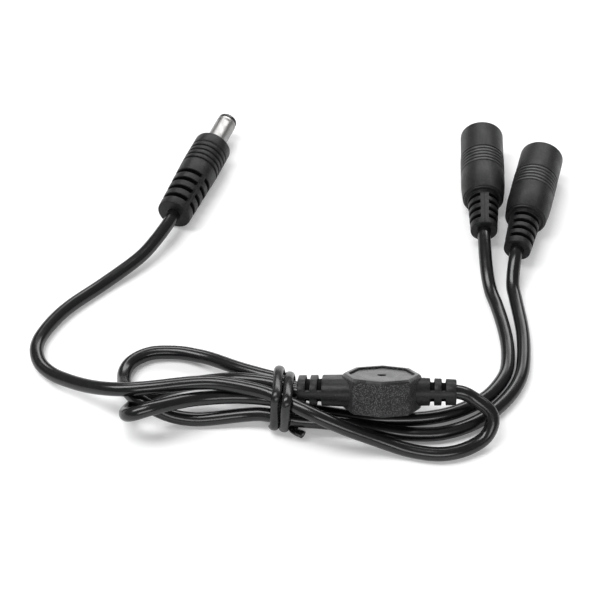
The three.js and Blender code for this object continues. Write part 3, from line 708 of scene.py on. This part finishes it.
def neck(name, side, reach, slots, width, spacing):
    """A flexible neck, with slots above and below a web on each side."""
    start, root, end, web = 6.0, 3.45, 3.05, 1.0
    depth, web_slope = 0.95, 0.3
    half = width / 2
    edge = [(half + 0.14, 0), (half + 0.03, 0.05), (half - 0.04, 0.2), (half - 0.1, 0.9), (half - 0.2, 1)]
    stops = [(start, 0)]
    for middle in slots:
        stops += [(middle + offset, share) for offset, share in [(-o, k) for o, k in edge] + edge[::-1]]
    stops += [(reach - 0.35, 0)]
    rings, cuts = [], []
    for x, share in stops:
        radius = root + (end - root) * (x - start) / (reach - start)
        ring, ring_cuts = [], []
        for (a, b), (c, d) in zip(stadium(radius, spacing), stadium(radius - depth, spacing)):
            cut = share * min(1, max(0, (abs(b) - web) / web_slope))
            ring.append((side * x, a + (c - a) * cut, b + (d - b) * cut))
            ring_cuts.append(cut)
        rings.append(ring)
        cuts.append(ring_cuts)
    for radius, x in (
            (end - 0.03, reach - 0.15), (end - 0.12, reach - 0.04), (end - 0.35, reach),
            (CORD_HOLE + 0.15, reach), (CORD_HOLE, reach - 0.12), (CORD_HOLE, start)):
        rings.append([(side * x, a, b) for a, b in stadium(radius, spacing)])

    # Faces deep in a slot take material 1, whose dark colour is painted shade.
    def finish_at(i, k):
        return 1 if i + 1 < len(cuts) and max(cuts[i][k], cuts[i + 1][k]) > SLOT_FROM else 0

    mesh = skin(name, rings, junction_place, closed=True, finish_at=finish_at)
    piece(name, mesh, [OVERMOULD, SLOT_SHADE_VINYL], "junction_overmould")


plug_body()
plug_metal()
for jack_name in JACKS:
    jack_body(jack_name)
    jack_inside(jack_name)
junction_body()
neck("junction_neck_in", 1, NECK_IN_REACH, slots=(11.9, 14.6), width=1.05, spacing=0.001)
neck("junction_neck_out", -1, NECK_OUT_REACH, slots=(14.6, 17.4), width=1.1, spacing=CORD_SPACING)


# Twist tie: wound round the cords from about the same values as its solid
def smoothed(points, passes):
    for _ in range(passes):
        middles = [(a + b * 2 + c) / 4 for a, b, c in zip(points, points[1:], points[2:])]
        points = [points[0], *middles, points[-1]]
    return points


def tie_line():
    """Two turns pulled tight round the cords, and a short tail."""
    thickness, slack, clearance, pitch, start_turn, start_x = 0.9, 0.2, 0.06, 2.45, -0.31, -23.2
    turns, per_turn, bundle_front = 2, 60, -34
    near, beside = 0.95, 1.2
    reach = CORD_RADIUS + GAP + slack + thickness / 2
    centres = [p for line in cord_lines.values() for p in curve_through(line, 0.4) if p.y < bundle_front]
    points = []
    for i in range(turns * per_turn + 1):
        turn = i / per_turn
        x = start_x + turn * pitch
        angle = (start_turn - turn) * 2 * math.pi
        out = Vector((0, math.cos(angle), math.sin(angle)))
        outermost = max((p for p in centres if abs(p.x - x) < near), key=lambda p: p.dot(out))
        points.append(Vector((x, outermost.y, outermost.z)) + out * reach)
    points = smoothed(curve_through(smoothed(points, 6), 0.45), 10)
    for _ in range(4):
        for i in range(1, len(points) - 1):
            point = points[i]
            closest = min((p for p in centres if abs(p.x - point.x) < beside),
                          key=lambda p: math.hypot(p.y - point.y, p.z - point.z))
            away = Vector((0, point.y - closest.y, point.z - closest.z))
            lift = CORD_RADIUS + thickness / 2 + clearance - away.length
            points[i] = point + away.normalized() * max(0, lift)
        points = smoothed(points, 5)
    for step in ((0.6, -1.0, 0.5), (1.6, -1.1, 0.3)):
        points.append(points[-1] + Vector(step))
    return curve_through(points, 0.5)


def tie():
    """A strip that is round on its outside and a wire down its middle, swept along the same line."""
    line = tie_line()
    half, outer, inner, wire, overhang = 1.15, 0.8, 0.42, 0.2, 0.08
    section = []
    for k in range(24):
        x, y = math.cos(k / 12 * math.pi), math.sin(k / 12 * math.pi)
        flat = math.copysign(abs(x) ** 0.6, x)
        section.append((x * half, y * outer) if y >= 0 else (flat * half, y * inner))

    def sides(ahead):
        across = (Vector((1, 0, 0)) - ahead * ahead.x).normalized()
        return across, ahead.cross(across)

    quarter = len(line) // 4
    middle = sum(line, Vector()) / len(line)
    outward = math.copysign(1, sides(heading_at(line, quarter))[1].dot(line[quarter] - middle))
    rings, wire_rings = [], []
    for i, point in enumerate(line):
        across, out = sides(heading_at(line, i))
        rings.append([point + across * x + out * y * outward for x, y in section])
        turns = [k / 12 * 2 * math.pi for k in range(12)]
        wire_rings.append([point + across * wire * math.cos(a) + out * wire * math.sin(a) for a in turns])
    wire_rings[0] = [p - (line[1] - line[0]).normalized() * overhang for p in wire_rings[0]]
    wire_rings[-1] = [p + (line[-1] - line[-2]).normalized() * overhang for p in wire_rings[-1]]
    strip = skin("tie_strip_wound", rings, sharp=50)
    piece("tie_strip_wound", strip, [TIE_PLASTIC], "tie_strip")
    piece("tie_wire_wound", skin("tie_wire_wound", wire_rings), [TIN], "tie_wire")


tie()

# Pieces that keep their solids take a finish each
for node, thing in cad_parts.items():
    if node.endswith("_positive_core"):
        thing.data.materials[0] = RED_CORE
    elif node.endswith("_negative_core"):
        thing.data.materials[0] = BLACK_CORE
    elif node.endswith("_splice"):
        thing.data.materials[0] = TIN
    elif node.endswith("_sleeve_contact"):
        thing.data.materials[0] = SPRING_METAL

# The pieces at each cord's end are listed; the loop below only works out each cord's points in metres and
# keeps none of them
jack_pieces = {
    name: [name + "_overmould_body", name + "_socket", name + "_pin", name + "_sleeve_contact",
           name + "_positive_core", name + "_negative_core"] for name in JACKS}
cord_ends = {
    "input_cord": ("plug", ["plug_overmould_body", "plug_barrel_shell", "plug_tip_ring", "plug_spring_tube",
                            "plug_positive_core", "plug_negative_core"]),
    "output_cord_a": ("connector", jack_pieces["jack_a"]),
    "output_cord_b": ("connector", jack_pieces["jack_b"]),
}
for name, (far_end, ends) in cord_ends.items():
    line = cord_lines[name]
    tuple(line[0] * MM)
    [tuple(p * MM) for p in line]
    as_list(ends)


# Stage
WHITE = (1, 1, 1, 1)


def make_stage():
    """White paper, a little brighter where the camera sees it."""
    mesh = bpy.data.meshes.new("floor")
    half = 3.0
    corners = [(-half, -half, 0), (half, -half, 0), (half, half, 0), (-half, half, 0)]
    mesh.from_pydata(corners, [], [(0, 1, 2, 3)])
    floor = bpy.data.objects.new("floor", mesh)
    floor.location.z = -0.00005
    bpy.context.scene.collection.objects.link(floor)
    paper = bpy.data.materials.new("white_paper")
    nodes = Nodes(paper)
    seen = nodes.add("ShaderNodeLightPath", {}, {}, "Is Camera Ray")
    matt = nodes.add("ShaderNodeBsdfDiffuse", {}, {"Color": (0.86, 0.86, 0.865, 1)})
    glow = nodes.add("ShaderNodeEmission", {}, {"Color": WHITE, "Strength": seen * 0.16})
    both = nodes.add("ShaderNodeAddShader", {}, {0: matt, 1: glow})
    nodes.add("ShaderNodeOutputMaterial", {}, {"Surface": both})
    mesh.materials.append(paper)


def make_world():
    """White where it is seen, and a dim fill everywhere else."""
    world = bpy.data.worlds.new("studio")
    nodes = Nodes(world)
    rays = [nodes.add("ShaderNodeLightPath", {}, {}, ray) for ray in ("Is Camera Ray", "Is Transmission Ray")]
    seen = nodes.add("ShaderNodeMath", {"operation": "MAXIMUM"}, {0: rays[0], 1: rays[1]})
    level = nodes.add("ShaderNodeMapRange", {}, {"Value": seen, "To Min": 0.24, "To Max": 1.0})
    background = nodes.add("ShaderNodeBackground", {}, {"Color": WHITE, "Strength": level})
    nodes.add("ShaderNodeOutputWorld", {}, {"Surface": background})
    bpy.context.scene.world = world


def area_light(name, place, size, power):
    """A softbox that faces the middle of the frame."""
    lamp = bpy.data.lights.new(name, "AREA")
    lamp.shape, lamp.energy = "RECTANGLE", power
    lamp.size, lamp.size_y = size
    thing = bpy.data.objects.new(name, lamp)
    thing.location = place
    thing.rotation_euler = (-Vector(place)).to_track_quat("-Z", "Y").to_euler()
    bpy.context.scene.collection.objects.link(thing)


make_stage()
make_world()
area_light("back_softbox", (0.15, 0.7, 0.6), size=(1.1, 0.3), power=6.0)
area_light("top_softbox", (-0.35, 0.0, 0.75), size=(0.3, 0.7), power=5.5)
area_light("front_fill", (0.05, -0.6, 0.35), size=(0.5, 0.2), power=1.5)

bpy.context.scene.view_settings.view_transform = "Standard"
